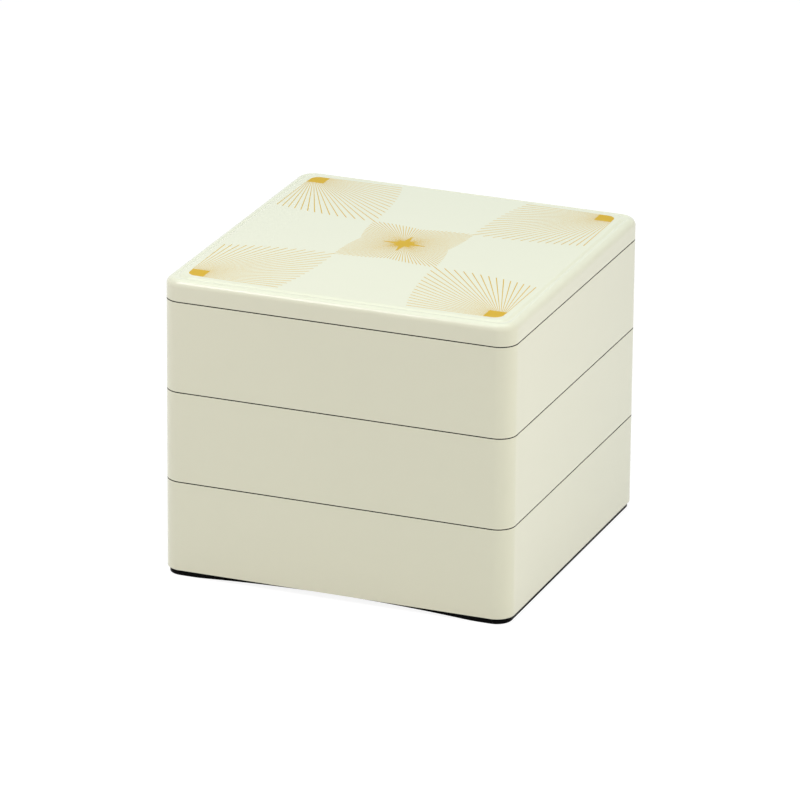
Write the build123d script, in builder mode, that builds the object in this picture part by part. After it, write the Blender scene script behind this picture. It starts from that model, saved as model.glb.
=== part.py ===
from build123d import *
import os

os.makedirs("parts", exist_ok=True)

# A square stacking food box: three equal tiers and a lid. A tier is an ivory four-sided wall that stands
# on a black board. The board's lower edge is the tier's foot, and it drops inside the rim below. The
# origin is on the ground under the middle of the stack, +Z is up, and all lengths are in millimetres.

# Sizes of the whole stack
side = 195.0
corner_radius = 10.0
tier_pitch = 50.0
tier_names = ("bottom", "middle", "top")

# Fits between the pieces
seam = 0.3
fit_gap = 0.3
glue_gap = 0.1

# Wall of a tier
wall_thickness = 3.5
lip_thickness = 1.0
rim_round = 0.35

# Black board under a tier, whose lower edge is the foot
foot_height = 3.2
board_seat = 2.0
floor_thickness = 2.2
foot_ring_width = 7.0
foot_ring_corner = 3.0
foot_round = 0.4
arch_span = 158.0
arch_rise = 2.8

# Lid
lid_side_height = 11.5
lid_thickness = 3.0
shoulder_round = 4.0
panel_inset = 4.4
panel_corner = 8.0
panel_slope_run = 2.5
panel_rise = 0.5
crown_rise = 0.8

# Chamfer that breaks the lower and inner edges
edge_break = 0.3

# Length by which a cut runs past the face that it opens
overrun = 1.0

# Sizes that follow from the ones above
foot_inset = lip_thickness + fit_gap
rabbet_inset = foot_inset - glue_gap
ring_inset = foot_inset + foot_ring_width
board_thickness = foot_height + board_seat
lid_level = tier_pitch * len(tier_names)


def plan(inset, corner=None, mode=Mode.ADD):
    """Draw the stack's square outline, drawn in by inset, in the open sketch."""
    width = side - 2 * inset
    RectangleRounded(width, width, corner_radius - inset if corner is None else corner, mode=mode)


def opening_edges(part, rank):
    """Return the inner edges of the level face that comes at a rank, counted upwards from zero."""
    level_face = part.faces().filter_by(Plane.XY).group_by(Axis.Z)[rank][0]
    return level_face.inner_wires()[0].edges()


def build_wall(level):
    """Build the four-sided wall of the tier whose foot stands at this level."""
    lower_edge = level + foot_height
    shelf = level + tier_pitch
    rim = shelf + foot_height - seam

    with BuildPart() as wall:
        with BuildSketch(Plane.XY.offset(lower_edge)):
            plan(0)
        extrude(amount=rim - lower_edge)
        chamfer(wall.edges().group_by(Axis.Z)[0], edge_break)
        fillet(wall.edges().group_by(Axis.Z)[-1], rim_round)

        # The hollow goes right through, because the board closes it from below
        with BuildSketch(Plane.XY.offset(lower_edge - overrun)):
            plan(wall_thickness)
        extrude(amount=rim - lower_edge + 2 * overrun, mode=Mode.SUBTRACT)

        # The step inside the rim takes the foot of what stands above
        with BuildSketch(Plane.XY.offset(shelf)):
            plan(lip_thickness)
        extrude(amount=rim - shelf + overrun, mode=Mode.SUBTRACT)

        # The rabbet under the wall takes the board
        with BuildSketch(Plane.XY.offset(lower_edge - overrun)):
            plan(rabbet_inset)
        extrude(amount=board_seat + overrun, mode=Mode.SUBTRACT)

        chamfer(opening_edges(wall, -2) + opening_edges(wall, -1), edge_break)
    return wall.part


def build_board(level):
    """Build the black board that closes a tier: its floor, the ring of its foot and the arches in the ring."""
    with BuildPart() as board:
        with BuildSketch(Plane.XY.offset(level)):
            plan(foot_inset)
        extrude(amount=board_thickness)
        fillet(board.edges().group_by(Axis.Z)[0], foot_round)

        # The underside is hollow, so that the board stands on its ring
        with BuildSketch(Plane.XY.offset(level - overrun)):
            plan(ring_inset, foot_ring_corner)
        extrude(amount=board_thickness - floor_thickness + overrun, mode=Mode.SUBTRACT)
        chamfer(opening_edges(board, 0), edge_break)

        # A shallow arch lifts the ring off the ground along the front and along the back
        with BuildSketch(Plane.XZ):
            with BuildLine():
                ThreePointArc((-arch_span / 2, level), (0, level + arch_rise), (arch_span / 2, level))
                Polyline(
                    (arch_span / 2, level),
                    (arch_span / 2, level - overrun),
                    (-arch_span / 2, level - overrun),
                    (-arch_span / 2, level),
                )
            make_face()
        extrude(amount=side / 2, both=True, mode=Mode.SUBTRACT)
    return board.part


def crown_patch(height):
    """Make the panel's crowned surface, whose edges lie at a height.

    The crown rises by crown_rise * (1 - u * u) * (1 - v * v), where u and v run from -1 to 1 across the
    panel. A Bezier patch with three control points each way is exactly that surface. It runs a little past
    the panel, so that it cuts the slope cleanly.
    """
    panel_half = side / 2 - panel_inset - panel_slope_run
    patch_half = panel_half + panel_slope_run
    reach_share = (patch_half / panel_half) ** 2
    control_shares = ((-1, 1 - reach_share), (0, 1 + reach_share), (1, 1 - reach_share))
    return Face.make_bezier_surface(
        [
            [
                (patch_half * across, patch_half * along, height + crown_rise * rise_x * rise_y)
                for across, rise_x in control_shares
            ]
            for along, rise_y in control_shares
        ]
    )


# The three tiers
for tier_number, tier_name in enumerate(tier_names):
    tier_level = tier_number * tier_pitch

    tier_wall = build_wall(tier_level)
    tier_wall.label = f"tier_{tier_name}_wall"
    export_step(tier_wall, f"parts/{tier_wall.label}.step")

    tier_base = build_board(tier_level)
    tier_base.label = f"tier_{tier_name}_base"
    export_step(tier_base, f"parts/{tier_base.label}.step")

# The lid's ivory shell: side, rounded shoulder and a raised panel that swells gently to its middle
skirt = lid_level + foot_height
shoulder = skirt + lid_side_height
panel_edge = shoulder + panel_rise
slope_peak = panel_edge + 2 * crown_rise
slope_peak_inset = panel_inset + panel_slope_run * (slope_peak - shoulder) / panel_rise

with BuildPart() as lid_shell:
    with BuildSketch(Plane.XY.offset(skirt)):
        plan(0)
    extrude(amount=lid_side_height)
    fillet(lid_shell.edges().group_by(Axis.Z)[-1], shoulder_round)
    chamfer(lid_shell.edges().group_by(Axis.Z)[0], edge_break)

    with BuildSketch(Plane.XY.offset(shoulder)):
        plan(panel_inset, panel_corner)
    with BuildSketch(Plane.XY.offset(slope_peak)):
        plan(slope_peak_inset, panel_corner)
    loft(ruled=True)
    extrude(crown_patch(panel_edge), amount=slope_peak - panel_edge + overrun, dir=(0, 0, 1), mode=Mode.SUBTRACT)

    with BuildSketch(Plane.XY.offset(skirt - overrun)):
        plan(wall_thickness)
    extrude(amount=lid_side_height - lid_thickness + overrun, mode=Mode.SUBTRACT)
    with BuildSketch(Plane.XY.offset(skirt - overrun)):
        plan(rabbet_inset)
    extrude(amount=board_seat + overrun, mode=Mode.SUBTRACT)
lid_shell.part.label = "lid_shell"
export_step(lid_shell.part, "parts/lid_shell.step")

# The lid's black register, a frame that drops inside the rim of the top tier as a foot does
with BuildPart() as lid_register:
    with BuildSketch(Plane.XY.offset(lid_level)):
        plan(foot_inset)
        plan(ring_inset, foot_ring_corner, mode=Mode.SUBTRACT)
    extrude(amount=board_thickness)
    fillet(lid_register.faces().sort_by(Axis.Z)[0].outer_wire().edges(), foot_round)
    chamfer(opening_edges(lid_register, 0), edge_break)
lid_register.part.label = "lid_register"
export_step(lid_register.part, "parts/lid_register.step")
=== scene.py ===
"""Looks of a stacking lacquered food box: three ivory tiers on black boards, under a lid with a gold print.

Run as a script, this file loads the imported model, dresses its pieces and sets the stage. All lengths are
in metres, +Z is up, and the origin is on the ground under the middle of the stack.
"""

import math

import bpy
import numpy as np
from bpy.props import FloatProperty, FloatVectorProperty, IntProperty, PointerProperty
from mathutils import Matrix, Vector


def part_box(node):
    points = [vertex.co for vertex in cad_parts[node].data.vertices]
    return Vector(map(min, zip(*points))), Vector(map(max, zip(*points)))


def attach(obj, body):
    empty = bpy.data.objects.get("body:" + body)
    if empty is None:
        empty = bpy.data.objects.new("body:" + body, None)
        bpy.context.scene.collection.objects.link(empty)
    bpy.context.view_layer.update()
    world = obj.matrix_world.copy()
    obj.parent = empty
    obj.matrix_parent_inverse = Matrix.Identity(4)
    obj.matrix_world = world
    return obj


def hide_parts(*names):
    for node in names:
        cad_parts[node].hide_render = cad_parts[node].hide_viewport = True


bl_info = {
    "name": "Stacking lacquered food box",
    "version": (1, 0, 0),
    "blender": (4, 5, 0),
    "location": "3D View > Sidebar > Food Box",
    "description": "Builds the pieces, the lacquer finishes and the stage of a tiered food box",
    "category": "Add Mesh",
}

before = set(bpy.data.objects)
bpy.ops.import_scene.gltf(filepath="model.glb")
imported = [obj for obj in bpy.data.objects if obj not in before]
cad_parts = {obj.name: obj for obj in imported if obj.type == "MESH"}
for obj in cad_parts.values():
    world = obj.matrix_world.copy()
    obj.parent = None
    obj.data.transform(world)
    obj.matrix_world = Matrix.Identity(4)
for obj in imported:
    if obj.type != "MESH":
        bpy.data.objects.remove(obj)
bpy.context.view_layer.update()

MM = 0.001
TIER_NAMES = ("bottom", "middle", "top")
IVORY_SLOT = "ivory_lacquer"
BLACK_SLOT = "black_lacquer"
GOLD_SLOT = "gold_print"
WHITE = (1, 1, 1, 1)

# Signs of x and y in the four quarters, anticlockwise from above
QUARTERS = np.array([(1, 1), (-1, 1), (-1, -1), (1, -1)])


def length(name, millimetres, description):
    """Declare a length property whose default is given in millimetres."""
    return FloatProperty(
        name=name, description=description, default=millimetres * MM, min=0.0, precision=5,
        unit="LENGTH", subtype="DISTANCE",
    )


def place(name, millimetres, description):
    """Declare a point or a shift whose default is given in millimetres."""
    return FloatVectorProperty(
        name=name, description=description, default=[value * MM for value in millimetres],
        size=len(millimetres), precision=5, unit="LENGTH", subtype="XYZ_LENGTH",
    )


def angle(name, degrees, description):
    """Declare an angle whose default is given in degrees."""
    return FloatProperty(
        name=name, description=description, default=math.radians(degrees),
        unit="ROTATION", subtype="ANGLE",
    )


def share(name, value, description):
    """Declare a number from zero to one."""
    return FloatProperty(name=name, description=description, default=value, min=0.0, max=1.0, precision=3)


def amount(name, value, description, unit="NONE"):
    """Declare a number from zero up."""
    return FloatProperty(
        name=name, description=description, default=value, min=0.0, precision=3, unit=unit,
    )


def colour(name, value, description):
    """Declare a linear colour."""
    return FloatVectorProperty(
        name=name, description=description, default=value, size=3, min=0.0, max=1.0, subtype="COLOR",
    )


class TierSizes(bpy.types.PropertyGroup):
    """Sizes of a tier's wall and board that the frame's boxes don't give."""

    corner_radius: length("Corner radius", 10.0, "Radius of the upright corners, seen from above")
    wall_thickness: length("Wall thickness", 3.5, "Thickness of a tier's wall")
    lip_thickness: length("Lip thickness", 1.0, "Thickness of the rim outside its inner step")
    lip_depth: length("Lip depth", 2.9, "Height of the rim above its inner step")
    rim_round: length("Rim round", 0.35, "Round on the outer edge of a rim")
    # Partly two-tone paint, partly painted shade: the black coming down the rim's outer round darkens the
    # seam between tiers.
    rim_paint_and_seam_shade: share("Rim paint", 0.5, "Share of that round's height down which the black comes")
    edge_round: length("Edge round", 0.3, "Round on lower and inner edges")
    seat_round: length("Seat round", 0.1, "Round on the edges that meet another piece")
    board_seat: length("Board seat", 2.0, "Height of the board inside the wall")
    rabbet_inset: length("Rabbet inset", 1.2, "Distance from the outside to the rabbet for the board")
    floor_thickness: length("Floor thickness", 2.2, "Thickness of the board over its hollow underside")
    ring_width: length("Ring width", 7.0, "Width of the foot's ring")
    ring_corner: length("Ring corner", 3.0, "Corner radius of the opening inside the ring")
    foot_round: length("Foot round", 0.4, "Round on the foot's outer lower edge")
    arch_span: length("Arch span", 158.0, "Width of the shallow arch in the front and back of the foot")
    arch_rise: length("Arch rise", 2.8, "Height of that arch at its middle")


class LidSizes(bpy.types.PropertyGroup):
    """Sizes of the lid that the frame's boxes don't give."""

    top_thickness: length("Top thickness", 3.0, "Thickness of the lid's top at its edge")
    shoulder_round: length("Shoulder round", 4.0, "Round between the lid's side and its top")
    ceiling_round: length("Ceiling round", 0.8, "Round between the lid's inner side and its ceiling")
    panel_inset: length("Panel inset", 4.4, "Distance from the outside to the foot of the panel's slope")
    panel_corner: length("Panel corner", 8.0, "Corner radius of the raised panel")
    slope_run: length("Slope run", 2.5, "Width of the soft slope round the panel")
    panel_rise: length("Panel rise", 0.5, "Height of the panel's edge above the shoulder")
    crown_rise: length("Crown rise", 0.8, "Height of the panel's middle above its edge")
    groove_inset: length("Groove inset", 3.8, "Distance from the outside to the groove round the panel")
    groove_depth: length("Groove depth", 0.33, "Depth of that soft groove")


class PrintSizes(bpy.types.PropertyGroup):
    """Sizes of the gold print on the panel."""

    half_width: length("Half width", 87.4, "Distance from the panel's middle to the print's edge")
    fan_reach: length("Fan reach", 59.5, "Side of the square that a corner fan fills")
    burst_reach: length("Burst reach", 28.5, "Half the side of the square that the centre burst fills")
    divisions: IntProperty(
        name="Divisions", description="Rays between a fan's edge and its diagonal", default=13, min=2,
    )
    drawn_in: share("Drawn in", 0.13, "Share of the reach by which a ray along a fan's edge falls short")
    fan_line: length("Fan line", 0.52, "Width of a ray's outer end in a corner fan")
    burst_line: length("Burst line", 0.4, "Width of a ray's outer end in the centre burst")
    line_taper: share("Line taper", 0.5, "Share of its width that a ray has where it starts")
    start_cover: share("Start cover", 0.8, "Share of a block or star's waist from which its rays start")
    block_width: length("Block width", 9.6, "Side of the solid block where a corner fan starts")
    block_corner: length("Block corner", 5.0, "Radius of that block's outermost corner")
    star_reach: length("Star reach", 13.4, "Length of the star's long points")
    star_diagonal: length("Star diagonal", 5.8, "Length of the star's short points")
    star_waist: length("Star waist", 4.0, "Distance from the star's middle to a notch between points")
    film: length("Film", 0.02, "Height of the gold film above the lacquer")
    even_lift: share("Even lift", 0.7, "Share of the film's height at which even rays lie")
    odd_lift: share("Odd lift", 0.5, "Share of the film's height at which odd rays lie")


class Finishes(bpy.types.PropertyGroup):
    """Colours, gloss and unevenness of the finishes."""

    ivory: colour("Ivory", (0.80, 0.784, 0.61), "Colour of the ivory lacquer")
    ivory_drift: share("Ivory drift", 0.02, "Share by which the ivory darkens in places")
    ivory_roughness: share("Ivory roughness", 0.32, "Roughness of the ivory lacquer under its clear coat")
    ivory_shine: share("Ivory shine", 0.25, "Specular level of the ivory lacquer")
    ivory_coat: share("Ivory coat", 0.6, "Weight of the clear coat over the ivory")
    black: colour("Black", (0.008, 0.008, 0.0085), "Colour of the black lacquer inside")
    black_drift: share("Black drift", 0.3, "Share by which the blacks darken in places")
    black_roughness: share("Black roughness", 0.12, "Roughness of the black lacquer")
    black_shine: share("Black shine", 0.5, "Specular level of the black lacquer inside")
    # Painted shade: feet, register and rims get a darker black with almost no shine, standing in for the
    # shade under the box and in the seams.
    foot_shade_black: colour("Foot black", (0.005, 0.005, 0.0053), "Colour of the black on feet and rims")
    foot_shade_shine: share("Foot shine", 0.02, "Specular level of the black on feet and rims")
    gold: colour("Gold", (0.69, 0.425, 0.027), "Colour of the gold print")
    gold_drift: share("Gold drift", 0.08, "Share by which the gold darkens in places")
    gold_roughness: share("Gold roughness", 0.45, "Roughness of the gold print")
    gold_shine: share("Gold shine", 0.06, "Specular level of the gold print")
    gold_metallic: share("Gold metallic", 0.18, "How metallic the gold print looks")
    coat_roughness: share("Coat roughness", 0.05, "Roughness of the clear coat")
    cloud_scale: amount("Cloud scale", 14.0, "Scale of the noise that moves the colour")
    cloud_detail: amount("Cloud detail", 3.0, "Detail of that noise")
    haze_scale: amount("Haze scale", 60.0, "Scale of the noise that moves the roughness")
    haze_detail: amount("Haze detail", 2.0, "Detail of that noise")
    haze_spread: share("Haze spread", 0.1, "Share by which the roughness moves up and down")
    peel_scale: amount("Peel scale", 420.0, "Scale of the noise that makes the faint waviness")
    peel_detail: amount("Peel detail", 2.0, "Detail of that noise")
    peel_height: length("Peel height", 0.004, "Height of the waviness")
    peel_strength: share("Peel strength", 0.5, "Strength with which the waviness shows")


class StageLook(bpy.types.PropertyGroup):
    """The camera's place, the lamps, the even light and the floor."""

    azimuth: angle("Azimuth", 21.428, "How far the camera stands to the right of the front")
    elevation: angle("Elevation", 20.375, "How far the camera looks down")
    roll: angle("Roll", 0.499, "How far the camera is turned about its own axis")
    distance: length("Distance", 3536.9, "Distance from the aim to the camera")
    aim_height: length("Aim height", 78.55, "Height of the point that the camera looks at")
    slide: place("Slide", (-1.5126, -0.3208), "How far the camera slides to the right and up")
    lens: amount("Lens", 299.71, "Focal length in millimetres", unit="CAMERA")
    lamp_aim: place("Lamp aim", (0, 0, 100), "Point that every lamp is turned to")
    top_place: place("Top place", (-100, 100, 1300), "Place of the lamp overhead")
    top_width: length("Top width", 1200, "Width of the lamp overhead")
    top_light: amount("Top light", 8.0, "Power of the lamp overhead", unit="POWER")
    top_tint: colour("Top tint", (0.8, 1, 0.985), "Colour of the lamp overhead")
    right_place: place("Right place", (650, -220, 400), "Place of the lamp on the right")
    right_width: length("Right width", 500, "Width of the lamp on the right")
    right_light: amount("Right light", 2.0, "Power of the lamp on the right", unit="POWER")
    right_tint: colour("Right tint", (1, 0.955, 0.92), "Colour of the lamp on the right")
    high_place: place("High place", (-350, -430, 820), "Place of the lamp high up in front")
    high_width: length("High width", 300, "Width of the lamp high up in front")
    high_light: amount("High light", 1.87, "Power of the lamp high up in front", unit="POWER")
    high_tint: colour("High tint", (1, 0.94, 1), "Colour of the lamp high up in front")
    front_place: place("Front place", (-500, -500, 350), "Place of the lamp on the left in front")
    front_width: length("Front width", 400, "Width of the lamp on the left in front")
    front_light: amount("Front light", 0.7, "Power of the lamp on the left in front", unit="POWER")
    front_tint: colour("Front tint", (1, 0.9, 0.88), "Colour of the lamp on the left in front")
    room_light: amount("Room light", 0.3, "Strength of the even light from all round")
    floor_reach: length("Floor reach", 12000, "Distance from the box to the floor's edges")
    floor_glow: share("Floor glow", 0.9, "Plain white that the floor shows to the camera")
    floor_shade: share("Floor shade", 0.2, "Colour with which the floor shows its shadows to the camera")
    floor_colour: share("Floor colour", 0.86, "Colour with which the floor throws light back on the box")
    floor_roughness: share("Floor roughness", 0.9, "Roughness of the floor's paper")
    floor_shine: share("Floor shine", 0.1, "Specular level of the floor's paper")


def square_path(arc_steps=16, side_steps=48):
    """Return two arrays of unit points that draw any rounded square, anticlockwise from above.

    A point of the square is spread * (half - corner) + turn * corner. On a corner's arc, spread is the
    corner's diagonal direction and turn the unit vector at the arc's angle. Along a side, spread runs
    evenly from one diagonal direction to the next, and turn stays square to the side.
    """
    quarter_turns = np.arange(len(QUARTERS))[:, None] * math.pi / 2
    angles = quarter_turns + np.linspace(0, math.pi / 2, arc_steps + 1)[None, :]
    arc_turn = np.stack([np.cos(angles), np.sin(angles)], -1)
    arc_spread = np.broadcast_to(QUARTERS[:, None], arc_turn.shape)
    along = (np.arange(1, side_steps) / side_steps)[None, :, None]
    side_spread = QUARTERS[:, None] * (1 - along) + np.roll(QUARTERS, -1, axis=0)[:, None] * along
    side_turn = np.broadcast_to(arc_turn[:, -1:], side_spread.shape)
    spread = np.concatenate([arc_spread, side_spread], 1).reshape(-1, 2)
    turn = np.concatenate([arc_turn, side_turn], 1).reshape(-1, 2)
    return spread, turn


def square_rows(half, corner, height):
    """Stack rounded squares: one row of points for each half width, corner radius and height."""
    spread, turn = square_path()
    flat = spread[None] * (half - corner)[:, None, None] + turn[None] * corner[:, None, None]
    tall = np.broadcast_to(height[:, None, None], flat.shape[:2] + (1,))
    return np.concatenate([flat, tall], 2)


def rounded_profile(corners, closed, steps=6, support=0.05 * MM):
    """Round the corners of a profile and return its points.

    Each corner is a point with a radius. With the opening being the angle between the two sides that meet
    there, the arc touches both at radius / tan(opening / 2). Its points turn about its centre by equal
    angles: they are the two radii to the touching points, weighted by the sines of the angles still to go
    and already gone. A support point beside each end of an arc keeps the flats flat when shaded. An open
    profile keeps its first and last point, which need no radius.
    """
    corners = np.asarray(corners, float)
    points, radius = corners[:, :2], corners[:, 2:3]
    before, after = np.roll(points, 1, axis=0), np.roll(points, -1, axis=0)
    if not closed:
        first, last = points[:1], points[-1:]
        points, before, after, radius = points[1:-1], before[1:-1], after[1:-1], radius[1:-1]
    back = (before - points) / np.linalg.norm(before - points, axis=1, keepdims=True)
    onward = (after - points) / np.linalg.norm(after - points, axis=1, keepdims=True)
    opening = np.arccos(np.clip((back * onward).sum(1, keepdims=True), -1, 1))
    touch = radius / np.tan(opening / 2)
    halfway = (back + onward) / np.linalg.norm(back + onward, axis=1, keepdims=True)
    centre = points + halfway * radius / np.sin(opening / 2)
    start, end = points + back * touch - centre, points + onward * touch - centre
    sweep = (math.pi - opening)[:, None]
    gone = np.linspace(0, 1, steps + 1)[None, :, None]
    blend = start[:, None] * np.sin((1 - gone) * sweep) + end[:, None] * np.sin(gone * sweep)
    arc = centre[:, None] + blend / np.sin(sweep)
    first_support = (points + back * (touch + support))[:, None]
    last_support = (points + onward * (touch + support))[:, None]
    rounded = np.concatenate([first_support, arc, last_support], 1).reshape(-1, 2)
    return rounded if closed else np.concatenate([first, rounded, last])


def mesh_piece(name, points, faces, materials, face_finish=0, smooth=True):
    """Make a mesh object at the origin from points, faces and the material number of each face."""
    mesh = bpy.data.meshes.new(name)
    mesh.from_pydata(points, [], faces)
    for material in materials:
        mesh.materials.append(material)
    count = len(mesh.polygons)
    mesh.polygons.foreach_set("material_index", np.broadcast_to(face_finish, count).astype(np.int32))
    mesh.polygons.foreach_set("use_smooth", np.full(count, smooth))
    mesh.update()
    piece = bpy.data.objects.new(name, mesh)
    bpy.context.scene.collection.objects.link(piece)
    return piece


def row_faces(row_count, row_size, closed):
    """Return the four-sided faces between neighbouring rows, each row being a closed ring of points."""
    this_row = np.arange(row_count if closed else row_count - 1)[:, None] * row_size
    next_row = (this_row + row_size) % (row_count * row_size)
    here = np.arange(row_size)[None, :]
    there = (here + 1) % row_size
    faces = np.stack([this_row + here, this_row + there, next_row + there, next_row + here], -1)
    return faces.reshape(-1, 4)


def ring_piece(name, rows, materials, band_finish):
    """Make a piece whose profile closes on itself, such as a wall or a frame."""
    row_count, row_size = rows.shape[:2]
    faces = row_faces(row_count, row_size, closed=True).tolist()
    return mesh_piece(name, rows.reshape(-1, 3), faces, materials, np.repeat(band_finish, row_size))


def capped_piece(name, rows, low_pole, high_pole, materials, band_finish):
    """Make a piece whose first and last row each close on one point in the middle."""
    row_count, row_size = rows.shape[:2]
    points = np.concatenate([rows.reshape(-1, 3), [low_pole], [high_pole]])
    here = np.arange(row_size)
    there = (here + 1) % row_size
    low_pole_number = np.full(row_size, row_count * row_size)
    low_fan = np.stack([low_pole_number, there, here], -1)
    last_row = (row_count - 1) * row_size
    high_fan = np.stack([last_row + here, last_row + there, low_pole_number + 1], -1)
    faces = row_faces(row_count, row_size, closed=False).tolist() + low_fan.tolist() + high_fan.tolist()
    all_bands = np.concatenate([band_finish, band_finish[:1], band_finish[-1:]])
    return mesh_piece(name, points, faces, materials, np.repeat(all_bands, row_size))


def wire_up(tree, source, socket_out, target, socket_in):
    """Link two nodes' sockets."""
    tree.links.new(source.outputs[socket_out], target.inputs[socket_in])


def noise(tree, coordinates, scale, detail):
    """Add a noise on object coordinates."""
    texture = tree.nodes.new("ShaderNodeTexNoise")
    texture.inputs["Scale"].default_value = scale
    texture.inputs["Detail"].default_value = detail
    wire_up(tree, coordinates, "Object", texture, "Vector")
    return texture


def lacquer(name, base, drift, roughness, shine, coat, metallic):
    """Make a sprayed lacquer: a colour that drifts slightly, uneven gloss and a faint waviness.

    Three noises on object coordinates drive them: a broad one mixes the colour with a slightly darker one,
    a middle one moves the roughness, and a fine one lifts the surface by a few thousandths of a millimetre.
    """
    looks = bpy.context.scene.food_box_finishes
    material = bpy.data.materials.new(name)
    material.use_nodes = True
    tree = material.node_tree
    shader = tree.nodes["Principled BSDF"]
    shader.inputs["Metallic"].default_value = metallic
    shader.inputs["Specular IOR Level"].default_value = shine
    shader.inputs["Coat Weight"].default_value = coat
    shader.inputs["Coat Roughness"].default_value = looks.coat_roughness
    coordinates = tree.nodes.new("ShaderNodeTexCoord")

    cloud = noise(tree, coordinates, looks.cloud_scale, looks.cloud_detail)
    tone = tree.nodes.new("ShaderNodeMix")
    tone.data_type = "RGBA"
    tone.inputs["A"].default_value = (*base, 1)
    tone.inputs["B"].default_value = (*(channel * (1 - drift) for channel in base), 1)
    wire_up(tree, cloud, "Fac", tone, "Factor")
    wire_up(tree, tone, "Result", shader, "Base Color")

    haze = noise(tree, coordinates, looks.haze_scale, looks.haze_detail)
    gloss = tree.nodes.new("ShaderNodeMapRange")
    gloss.inputs["To Min"].default_value = roughness * (1 - looks.haze_spread)
    gloss.inputs["To Max"].default_value = roughness * (1 + looks.haze_spread)
    wire_up(tree, haze, "Fac", gloss, "Value")
    wire_up(tree, gloss, "Result", shader, "Roughness")

    peel = noise(tree, coordinates, looks.peel_scale, looks.peel_detail)
    bump = tree.nodes.new("ShaderNodeBump")
    bump.inputs["Distance"].default_value = looks.peel_height
    bump.inputs["Strength"].default_value = looks.peel_strength
    wire_up(tree, peel, "Fac", bump, "Height")
    wire_up(tree, bump, "Normal", shader, "Normal")
    return material


def finish(slot, base, drift, roughness, shine, coat=0.0, metallic=0.0):
    """Return a slot's lacquer, made the first time. Its name differs from that of the frame's material."""
    name = f"{slot}_finish"
    made = bpy.data.materials.get(name)
    return made or lacquer(name, base, drift, roughness, shine, coat, metallic)


def ivory_lacquer():
    """The ivory lacquer of the walls and the lid, under a clear coat."""
    looks = bpy.context.scene.food_box_finishes
    return finish(
        IVORY_SLOT, looks.ivory, looks.ivory_drift, looks.ivory_roughness, looks.ivory_shine,
        coat=looks.ivory_coat,
    )


def black_lacquer():
    """The glossy black lacquer of the floors and the insides."""
    looks = bpy.context.scene.food_box_finishes
    return finish(BLACK_SLOT, looks.black, looks.black_drift, looks.black_roughness, looks.black_shine)


def foot_lacquer():
    """The duller, darker black on feet, register and rims, which slide in and out of each other: painted
    shade for the shade under the box and in the seams.
    """
    looks = bpy.context.scene.food_box_finishes
    return finish(
        "foot_lacquer", looks.foot_shade_black, looks.black_drift, looks.black_roughness, looks.foot_shade_shine,
    )


def gold_film():
    """The gold of the print."""
    looks = bpy.context.scene.food_box_finishes
    return finish(
        GOLD_SLOT, looks.gold, looks.gold_drift, looks.gold_roughness, looks.gold_shine,
        metallic=looks.gold_metallic,
    )


def wall_piece(tier):
    """Build a tier's wall from its rounded profile, carried round the square.

    The profile goes up the outside, over the rim, down the step and the inside, and back under the board's
    seat and the rabbet. The outside is ivory and the inside black. The duller black covers the top of the
    rim and comes partway down its outer round: partly a two-tone finish, partly painted shade that darkens
    the seam between tiers.
    """
    sizes = bpy.context.scene.food_box_tier
    node = f"tier_{tier}_wall"
    low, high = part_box(node)
    half = high.x
    shelf, seat = high.z - sizes.lip_depth, low.z + sizes.board_seat
    profile = rounded_profile(
        [
            (0, low.z, sizes.edge_round),
            (0, high.z, sizes.rim_round),
            (sizes.lip_thickness, high.z, sizes.edge_round),
            (sizes.lip_thickness, shelf, sizes.seat_round),
            (sizes.wall_thickness, shelf, sizes.edge_round),
            (sizes.wall_thickness, seat, sizes.seat_round),
            (sizes.rabbet_inset, seat, sizes.seat_round),
            (sizes.rabbet_inset, low.z, sizes.seat_round),
        ],
        closed=True,
    )
    inset, height = profile.T
    rows = square_rows(half - inset, sizes.corner_radius - inset, height)
    band_inset = (inset + np.roll(inset, -1)) / 2
    band_height = (height + np.roll(height, -1)) / 2
    # Painted shade in part: the black runs over the rim's top and partway down its outer round, darkening
    # the seam between tiers.
    on_rim = band_height > high.z - sizes.rim_round * sizes.rim_paint_and_seam_shade
    on_inside = band_inset > sizes.lip_thickness - sizes.seat_round
    materials = [ivory_lacquer(), black_lacquer(), foot_lacquer()]
    outside, inside, rim = range(len(materials))
    band_finish = np.where(on_rim, rim, np.where(on_inside, inside, outside))
    piece = ring_piece(f"{node}_lacquer", rows, materials, band_finish)
    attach(piece, f"{tier}_tier")
    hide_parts(node)
    return piece


def arch_height(x, span, rise):
    """Height of a shallow arch over x: a circle through both springing points and the crown, else zero."""
    radius = (span ** 2 / 4 + rise ** 2) / (2 * rise)
    inside = np.abs(x) < span / 2
    return np.where(inside, np.sqrt(np.maximum(radius ** 2 - x ** 2, 0)) - (radius - rise), 0)


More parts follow.
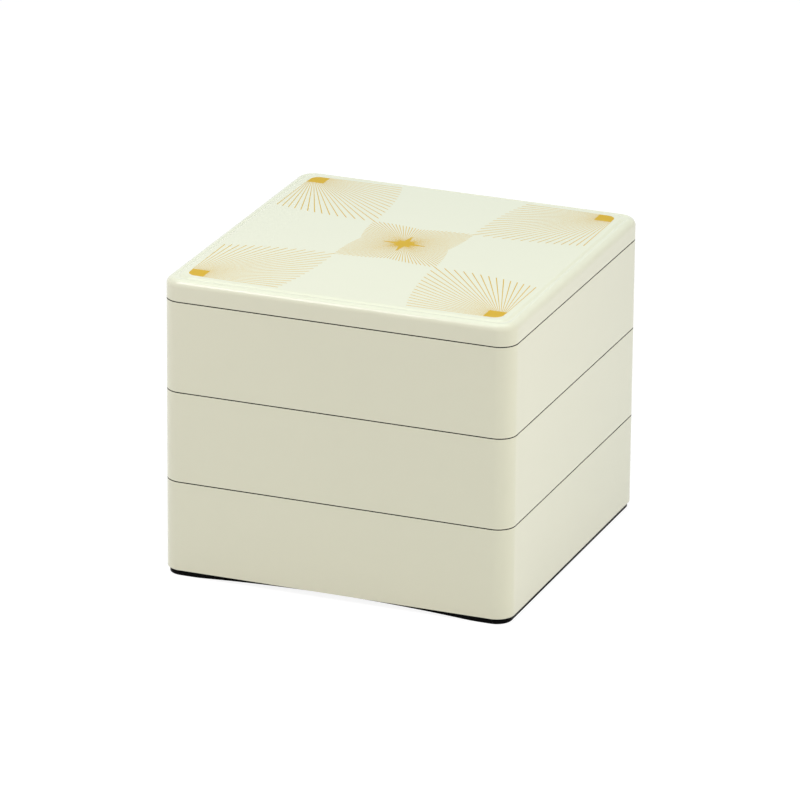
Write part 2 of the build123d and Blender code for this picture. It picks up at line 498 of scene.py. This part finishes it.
def board_piece(tier):
    """Build a tier's board: its floor, its hollow underside and the ring of its foot.

    The profile runs from the middle of the underside out to the ring, down and round the foot, up the side
    and back to the middle of the floor. Points below the arch are lifted onto it, which cuts the arch
    through the ring at the front and at the back.
    """
    sizes = bpy.context.scene.food_box_tier
    node = f"tier_{tier}_base"
    low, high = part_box(node)
    half = high.x
    outside = sizes.corner_radius - (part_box(f"tier_{tier}_wall")[1].x - half)
    hollow = high.z - sizes.floor_thickness
    profile = rounded_profile(
        [
            (half, hollow, 0),
            (sizes.ring_width, hollow, sizes.seat_round),
            (sizes.ring_width, low.z, sizes.edge_round),
            (0, low.z, sizes.foot_round),
            (0, high.z, sizes.seat_round),
            (half, high.z, 0),
        ],
        closed=False,
    )[1:-1]
    inset, height = profile.T
    inner = inset > sizes.ring_width / 2
    corner = np.where(inner, sizes.ring_corner + sizes.ring_width - inset, outside - inset)
    corner = np.where(inner & (height > hollow + sizes.seat_round), outside - inset, corner)
    rows = square_rows(half - inset, np.maximum(corner, sizes.seat_round), height)
    arch = arch_height(rows[..., 0], sizes.arch_span, sizes.arch_rise)
    rows[..., 2] = np.maximum(rows[..., 2], low.z + arch)
    # The foot's ring takes the duller, darker black: painted shade for the shade that the foot stands in.
    on_foot = inset[1:] < sizes.ring_width / 2
    piece = capped_piece(
        f"{node}_lacquer", rows, (0, 0, hollow), (0, 0, high.z), [black_lacquer(), foot_lacquer()],
        on_foot.astype(int),
    )
    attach(piece, f"{tier}_tier")
    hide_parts(node)
    return piece


def panel_edge_height():
    """Height of the raised panel's edge."""
    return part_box("lid_shell")[1].z - bpy.context.scene.food_box_lid.crown_rise


def panel_half_width():
    """Distance from the middle of the lid to the edge of the raised panel."""
    lid = bpy.context.scene.food_box_lid
    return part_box("lid_shell")[1].x - lid.panel_inset - lid.slope_run


def crown_height(x, y):
    """Height of the panel's surface: its edge plus the crown's rise times 1 - u * u times 1 - v * v.

    u and v run from -1 to 1 across the panel, so the crown is zero all along the edge. The rise is less by
    the print's film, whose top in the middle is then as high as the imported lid.
    """
    scene = bpy.context.scene
    rise = scene.food_box_lid.crown_rise - scene.food_box_print.film
    u, v = x / panel_half_width(), y / panel_half_width()
    return panel_edge_height() + rise * (1 - u * u) * (1 - v * v)


def groove_drop(inset):
    """Drop of the soft groove between shoulder and panel, at distances from the outside.

    With s from -1 at the groove's outer edge to 1 at the panel, it is the depth times (1 - s * s) squared.
    """
    lid = bpy.context.scene.food_box_lid
    panel = lid.panel_inset + lid.slope_run
    s = (2 * inset - lid.groove_inset - panel) / (panel - lid.groove_inset)
    return lid.groove_depth * np.maximum(1 - s * s, 0) ** 2


def lid_shell_piece(shoulder_steps=24, slope_steps=16, panel_steps=32):
    """Build the lid's shell.

    The profile runs from the middle of the ceiling out, down the inner side, round the rabbet and the lower
    edge, up the side and over the shoulder. A slope of the form 3 t t - 2 t t t then climbs to the panel,
    less the groove's drop. The panel's rows shrink towards the middle, at the heights of the crown.
    """
    tier, lid = bpy.context.scene.food_box_tier, bpy.context.scene.food_box_lid
    low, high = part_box("lid_shell")
    half = high.x
    shoulder = panel_edge_height() - lid.panel_rise
    ceiling, seat = shoulder - lid.top_thickness, low.z + tier.board_seat
    side_middle = (0, (low.z + shoulder) / 2, 0)
    under = rounded_profile(
        [
            (half, ceiling, 0),
            (tier.wall_thickness, ceiling, lid.ceiling_round),
            (tier.wall_thickness, seat, tier.seat_round),
            (tier.rabbet_inset, seat, tier.seat_round),
            (tier.rabbet_inset, low.z, tier.seat_round),
            (0, low.z, tier.edge_round),
            side_middle,
        ],
        closed=False,
    )[1:-1]
    over = rounded_profile(
        [side_middle, (0, shoulder, lid.shoulder_round), (half, shoulder, 0)],
        closed=False, steps=shoulder_steps,
    )[1:-1]
    over[:, 1] -= groove_drop(over[:, 0])
    side_profile = np.concatenate([under, over])
    inset, height = side_profile.T
    side_rows = square_rows(half - inset, tier.corner_radius - inset, height)

    climb = np.linspace(0, 1, slope_steps + 1)
    slope_inset = lid.panel_inset + lid.slope_run * climb
    slope_height = shoulder + lid.panel_rise * climb ** 2 * (3 - 2 * climb) - groove_drop(slope_inset)
    slope_rows = square_rows(half - slope_inset, np.full(len(climb), lid.panel_corner), slope_height)

    shrink = np.linspace(1, 0, panel_steps + 1)[1:-1]
    panel_rows = square_rows(panel_half_width() * shrink, lid.panel_corner * shrink, np.zeros(len(shrink)))
    panel_rows[..., 2] = crown_height(panel_rows[..., 0], panel_rows[..., 1])

    # The inside is black as far as the rabbet, and all that follows the lower profile is ivory
    rows = np.concatenate([side_rows, slope_rows, panel_rows])
    inside = (inset[1:] + inset[:-1]) / 2 > tier.rabbet_inset - tier.seat_round
    inside[len(under):] = False
    band_finish = np.concatenate([inside, np.zeros(len(slope_rows) + len(panel_rows))])
    piece = capped_piece(
        "lid_shell_lacquer", rows, (0, 0, ceiling), (0, 0, crown_height(0, 0)),
        [ivory_lacquer(), black_lacquer()], band_finish,
    )
    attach(piece, "lid")
    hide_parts("lid_shell")
    return piece


def lid_register_piece():
    """Build the lid's register, a plain frame whose lower outer edge is rounded as a foot's is."""
    sizes = bpy.context.scene.food_box_tier
    low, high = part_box("lid_register")
    half = high.x
    outside = sizes.corner_radius - (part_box("lid_shell")[1].x - half)
    profile = rounded_profile(
        [
            (0, low.z, sizes.foot_round),
            (0, high.z, sizes.seat_round),
            (sizes.ring_width, high.z, sizes.seat_round),
            (sizes.ring_width, low.z, sizes.edge_round),
        ],
        closed=True,
    )
    inset, height = profile.T
    inner = inset > sizes.ring_width / 2
    corner = np.where(inner, sizes.ring_corner + sizes.ring_width - inset, outside - inset)
    rows = square_rows(half - inset, corner, height)
    # The outer lower round takes the duller, darker black: painted shade, as on the feet.
    outer = inset < sizes.foot_round
    piece = ring_piece("lid_register_lacquer", rows, [black_lacquer(), foot_lacquer()], outer.astype(int))
    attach(piece, "lid")
    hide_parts("lid_register")
    return piece


def ray_films(starts, ends, width, taper, lift, depth, steps=8):
    """Return points and faces of straight strips of film that follow the panel's crown.

    A strip's points are start + (end - start) * t, moved by half its width to each side. The width grows
    evenly from its tapered share at the start. Heights are the crown's plus the lift, or less the depth for
    the underside, which is sunk in the lacquer.
    """
    t = np.linspace(0, 1, steps + 1)[None, :, None]
    line = starts[:, None] + (ends - starts)[:, None] * t
    ahead = (ends - starts) / np.linalg.norm(ends - starts, axis=1, keepdims=True)
    half_width = width[:, None, None] / 2 * (taper + (1 - taper) * t)
    aside = np.stack([-ahead[:, 1], ahead[:, 0]], -1)[:, None] * half_width
    left, right = line + aside, line - aside
    lift = np.broadcast_to(lift[:, None], left.shape[:2])
    corners = [
        np.concatenate([edge, (crown_height(edge[..., 0], edge[..., 1]) + level)[..., None]], -1)
        for edge, level in ((left, -depth), (right, -depth), (right, lift), (left, lift))
    ]
    points = np.stack(corners, 2)
    strips, sections, size = points.shape[:3]
    here = np.arange(size)
    there = (here + 1) % size
    base = np.arange(strips)[:, None, None] * sections + np.arange(sections - 1)[None, :, None]
    near, far = base * size, (base + 1) * size
    sides = np.stack([near + here, far + here, far + there, near + there], -1).reshape(-1, 4)
    first = np.arange(strips)[:, None] * sections * size
    last = first + (sections - 1) * size
    caps = np.concatenate([first + here, last + here[::-1]])
    return points.reshape(-1, 3), np.concatenate([sides, caps])


def flat_film(outline, centre, lift, depth):
    """Return points and faces of a flat patch of film inside an outline that its centre can see.

    The top and the underside are fans from the centre to the outline's points, on the crown plus the lift
    and on the crown less the depth.
    """
    ring = np.concatenate([outline, [centre]])
    ground = crown_height(ring[:, 0], ring[:, 1])
    points = np.concatenate([np.column_stack([ring, ground + shift]) for shift in (lift, -depth)])
    count = len(outline)
    here = np.arange(count)
    there = (here + 1) % count
    under = count + 1
    top = np.stack([here, there, np.full(count, count)], -1)
    bottom = np.stack([under + there, under + here, np.full(count, under + count)], -1)
    rim = np.stack([under + here, under + there, there, here], -1)
    return points, top.tolist() + bottom.tolist() + rim.tolist()


def fan_ends():
    """Return where the rays of a fan end, for a fan that starts at zero and fills a square of side one.

    With k running from 0 to 1 in even steps, a ray's slope is the mean of k and tan(45 degrees * k). It
    ends at 1 - drawn_in * (1 - slope) * (1 - slope) along the square's side. The rays beyond the diagonal
    mirror these.
    """
    sizes = bpy.context.scene.food_box_print
    k = np.arange(sizes.divisions + 1) / sizes.divisions
    slope = (k + np.tan(k * math.pi / 4)) / 2
    reach = 1 - sizes.drawn_in * (1 - slope) ** 2
    low = np.stack([reach, reach * slope], -1)
    return np.concatenate([low, low[-2::-1, ::-1]])


def print_rays():
    """Return the starts, ends and widths of the print's rays.

    A fan spreads inwards from each corner of the print, out of its solid block. Four smaller fans, each
    turned by a quarter and without the last ray, which the next one has, make the burst round the star.
    """
    sizes = bpy.context.scene.food_box_print
    fan = fan_ends()
    block_edge = fan / fan.max(1, keepdims=True) * sizes.block_width * sizes.start_cover
    star_edge = fan / np.linalg.norm(fan, axis=1, keepdims=True) * sizes.star_waist * sizes.start_cover
    starts, ends = [], []
    for quarter in QUARTERS:
        corner = quarter * sizes.half_width
        starts.append(corner - block_edge * quarter)
        ends.append(corner - fan * sizes.fan_reach * quarter)
    for turn in range(len(QUARTERS)):
        quarter_turn = np.linalg.matrix_power(np.array([(0, 1), (-1, 0)]), turn)
        starts.append(star_edge[:-1] @ quarter_turn)
        ends.append(fan[:-1] * sizes.burst_reach @ quarter_turn)
    fan_rays, burst_rays = len(QUARTERS) * len(fan), len(QUARTERS) * (len(fan) - 1)
    width = np.repeat([sizes.fan_line, sizes.burst_line], [fan_rays, burst_rays])
    return np.concatenate(starts), np.concatenate(ends), width


def print_patches(rounding_steps=8):
    """Return the outline and the middle of each solid patch of the print: the star and the corners' blocks.

    The star's points stand at even angles, four times in turn at the long reach, the waist, the short
    reach and the waist. A block is a square whose outermost corner is a quarter circle.
    """
    sizes = bpy.context.scene.food_box_print
    quarter_reach = [sizes.star_reach, sizes.star_waist, sizes.star_diagonal, sizes.star_waist]
    reach = np.tile(quarter_reach, len(QUARTERS))
    angles = np.arange(len(reach)) / len(reach) * 2 * math.pi
    patches = [(np.stack([np.cos(angles), np.sin(angles)], -1) * reach[:, None], np.zeros(2))]
    turn = np.linspace(0, math.pi / 2, rounding_steps + 1)
    rounding = np.stack([np.cos(turn), np.sin(turn)], -1) * sizes.block_corner - sizes.block_corner
    square = np.array([(-1, 0), (-1, -1), (0, -1)]) * sizes.block_width
    block = np.concatenate([square, rounding]) + sizes.half_width
    for quarter in QUARTERS:
        outline = block * quarter if quarter.prod() > 0 else (block * quarter)[::-1]
        patches.append((outline, quarter * (sizes.half_width - sizes.block_width / 2)))
    return patches


def gold_print_piece():
    """Build the gold print: rays in the corner squares and the centre square, a star and four blocks.

    Neighbouring rays lie at two heights, and the solid patches lie over both, so that no two films share a
    surface where they meet. Every film is sunk in the lacquer by as much as it is high.
    """
    sizes = bpy.context.scene.food_box_print
    depth = sizes.film
    starts, ends, width = print_rays()
    lift = sizes.film * np.where(np.arange(len(starts)) % 2, sizes.odd_lift, sizes.even_lift)
    points, faces = ray_films(starts, ends, width, sizes.line_taper, lift, depth)
    all_points, all_faces = [points], faces.tolist()
    count = len(points)
    for outline, centre in print_patches():
        points, faces = flat_film(outline, centre, sizes.film, depth)
        all_points.append(points)
        all_faces += [[count + number for number in face] for face in faces]
        count += len(points)
    piece = mesh_piece("gold_print", np.concatenate(all_points), all_faces, [gold_film()], smooth=False)
    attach(piece, "lid")
    return piece


def shows_white(tree):
    """Return a node that is 1 for rays from the camera, a mirror or a glass, and 0 for light that falls."""
    path = tree.nodes.new("ShaderNodeLightPath")
    glossy = tree.nodes.new("ShaderNodeMath")
    glossy.operation = "MAXIMUM"
    wire_up(tree, path, "Is Camera Ray", glossy, 0)
    wire_up(tree, path, "Is Glossy Ray", glossy, 1)
    either = tree.nodes.new("ShaderNodeMath")
    either.operation = "MAXIMUM"
    wire_up(tree, glossy, 0, either, 0)
    wire_up(tree, path, "Is Transmission Ray", either, 1)
    return either


def floor_paper(look):
    """Make the floor's white paper, a pale sheet that shows to the camera as white with soft shadows."""
    material = bpy.data.materials.new("floor_paper")
    material.use_nodes = True
    tree = material.node_tree
    paper = tree.nodes["Principled BSDF"]
    paper.inputs["Base Color"].default_value = (*[look.floor_colour] * 3, 1)
    paper.inputs["Roughness"].default_value = look.floor_roughness
    paper.inputs["Specular IOR Level"].default_value = look.floor_shine
    shade = tree.nodes.new("ShaderNodeBsdfDiffuse")
    shade.inputs["Color"].default_value = (*[look.floor_shade] * 3, 1)
    glow = tree.nodes.new("ShaderNodeEmission")
    glow.inputs["Strength"].default_value = look.floor_glow
    white = tree.nodes.new("ShaderNodeAddShader")
    wire_up(tree, shade, "BSDF", white, 0)
    wire_up(tree, glow, "Emission", white, 1)
    blend = tree.nodes.new("ShaderNodeMixShader")
    wire_up(tree, shows_white(tree), 0, blend, 0)
    wire_up(tree, paper, "BSDF", blend, 1)
    wire_up(tree, white, "Shader", blend, 2)
    wire_up(tree, blend, "Shader", tree.nodes["Material Output"], "Surface")
    return material


def floor_sheet(look):
    """Lay the floor's paper under the box."""
    corners = [(x * look.floor_reach, y * look.floor_reach, 0) for x, y in QUARTERS.tolist()]
    floor = mesh_piece("floor_sheet", corners, [range(len(corners))], [floor_paper(look)])
    return floor


def room_world(look):
    """Light the room evenly, and show it as plain white to the camera and to mirrors."""
    world = bpy.data.worlds.new("room")
    world.use_nodes = True
    tree = world.node_tree
    even = tree.nodes["Background"]
    even.inputs["Color"].default_value = WHITE
    even.inputs["Strength"].default_value = look.room_light
    white = tree.nodes.new("ShaderNodeBackground")
    white.inputs["Color"].default_value = WHITE
    white.inputs["Strength"].default_value = 1.0
    blend = tree.nodes.new("ShaderNodeMixShader")
    wire_up(tree, shows_white(tree), 0, blend, 0)
    wire_up(tree, even, "Background", blend, 1)
    wire_up(tree, white, "Background", blend, 2)
    wire_up(tree, blend, "Shader", tree.nodes["World Output"], "Surface")
    bpy.context.scene.world = world


def soft_lamp(look, side, mirrored):
    """Hang the square soft lamp of one side. Only a mirrored lamp shows in the lacquer."""
    spot = getattr(look, f"{side}_place")
    light = bpy.data.lights.new(f"{side}_lamp", "AREA")
    light.shape = "SQUARE"
    light.size = getattr(look, f"{side}_width")
    light.energy = getattr(look, f"{side}_light")
    light.color = getattr(look, f"{side}_tint")
    lamp = bpy.data.objects.new(f"{side}_lamp", light)
    lamp.visible_camera = False
    lamp.visible_glossy = mirrored
    lamp.location = spot
    lamp.rotation_euler = (Vector(look.lamp_aim) - Vector(spot)).to_track_quat("-Z", "Y").to_euler()
    bpy.context.scene.collection.objects.link(lamp)
    return lamp


def photo_camera(look):
    """Place the camera at the photograph's viewing angle."""
    away = math.cos(look.elevation)
    back = Vector((math.sin(look.azimuth) * away, -math.cos(look.azimuth) * away, math.sin(look.elevation)))
    right = Vector((math.cos(look.azimuth), math.sin(look.azimuth), 0))
    up = back.cross(right)
    turned_right = right * math.cos(look.roll) + up * math.sin(look.roll)
    turned_up = up * math.cos(look.roll) - right * math.sin(look.roll)
    aim = Vector((0, 0, look.aim_height)) + right * look.slide[0] + up * look.slide[1]
    facing = Matrix((turned_right, turned_up, back)).transposed().to_4x4()
    data = bpy.data.cameras.new("photo_camera")
    data.lens = look.lens
    camera = bpy.data.objects.new("photo_camera", data)
    camera.matrix_world = Matrix.Translation(aim + back * look.distance) @ facing
    bpy.context.scene.collection.objects.link(camera)
    bpy.context.scene.camera = camera
    return camera


class FOODBOX_OT_tier_walls(bpy.types.Operator):
    """Build the ivory walls of the three tiers"""

    bl_idname = "food_box.tier_walls"
    bl_label = "Tier Walls"

    def execute(self, context):
        for tier in TIER_NAMES:
            wall_piece(tier)
        return {"FINISHED"}


class FOODBOX_OT_tier_boards(bpy.types.Operator):
    """Build the black boards with their feet"""

    bl_idname = "food_box.tier_boards"
    bl_label = "Tier Boards"

    def execute(self, context):
        for tier in TIER_NAMES:
            board_piece(tier)
        return {"FINISHED"}


class FOODBOX_OT_lid_shell(bpy.types.Operator):
    """Build the lid's ivory shell with its crowned panel"""

    bl_idname = "food_box.lid_shell"
    bl_label = "Lid Shell"

    def execute(self, context):
        lid_shell_piece()
        return {"FINISHED"}


class FOODBOX_OT_lid_register(bpy.types.Operator):
    """Build the black frame under the lid"""

    bl_idname = "food_box.lid_register"
    bl_label = "Lid Register"

    def execute(self, context):
        lid_register_piece()
        return {"FINISHED"}


class FOODBOX_OT_gold_print(bpy.types.Operator):
    """Lay the gold print on the lid's panel"""

    bl_idname = "food_box.gold_print"
    bl_label = "Gold Print"

    def execute(self, context):
        gold_print_piece()
        return {"FINISHED"}


class FOODBOX_OT_stage(bpy.types.Operator):
    """Set the floor, the lamps, the room and the camera"""

    bl_idname = "food_box.stage"
    bl_label = "Stage"

    def execute(self, context):
        look = context.scene.food_box_stage
        floor_sheet(look)
        room_world(look)
        soft_lamp(look, "top", mirrored=True)
        soft_lamp(look, "right", mirrored=False)
        soft_lamp(look, "high", mirrored=True)
        soft_lamp(look, "front", mirrored=False)
        photo_camera(look)
        context.scene.view_settings.view_transform = "Standard"
        return {"FINISHED"}


OPERATORS = (
    FOODBOX_OT_tier_walls,
    FOODBOX_OT_tier_boards,
    FOODBOX_OT_lid_shell,
    FOODBOX_OT_lid_register,
    FOODBOX_OT_gold_print,
    FOODBOX_OT_stage,
)

SETTINGS = {
    "food_box_tier": TierSizes,
    "food_box_lid": LidSizes,
    "food_box_print": PrintSizes,
    "food_box_finishes": Finishes,
    "food_box_stage": StageLook,
}


class FOODBOX_PT_sidebar(bpy.types.Panel):
    """List the pieces of the food box and their settings"""

    bl_label = "Food Box"
    bl_space_type = "VIEW_3D"
    bl_region_type = "UI"
    bl_category = "Food Box"

    def draw(self, context):
        for operator in OPERATORS:
            self.layout.operator(operator.bl_idname)
        for attribute, group in SETTINGS.items():
            box = self.layout.box()
            for name in group.__annotations__:
                box.prop(getattr(context.scene, attribute), name)


def register():
    """Register the settings, the operators and the panel."""
    for attribute, group in SETTINGS.items():
        bpy.utils.register_class(group)
        setattr(bpy.types.Scene, attribute, PointerProperty(type=group))
    for item in (*OPERATORS, FOODBOX_PT_sidebar):
        bpy.utils.register_class(item)


def unregister():
    """Take the panel, the operators and the settings out again."""
    for item in (FOODBOX_PT_sidebar, *reversed(OPERATORS)):
        bpy.utils.unregister_class(item)
    for attribute, group in reversed(SETTINGS.items()):
        delattr(bpy.types.Scene, attribute)
        bpy.utils.unregister_class(group)


def main():
    """Build every piece and the stage."""
    register()
    bpy.ops.food_box.tier_walls()
    bpy.ops.food_box.tier_boards()
    bpy.ops.food_box.lid_shell()
    bpy.ops.food_box.lid_register()
    bpy.ops.food_box.gold_print()
    bpy.ops.food_box.stage()


if __name__ == "__main__":
    main()
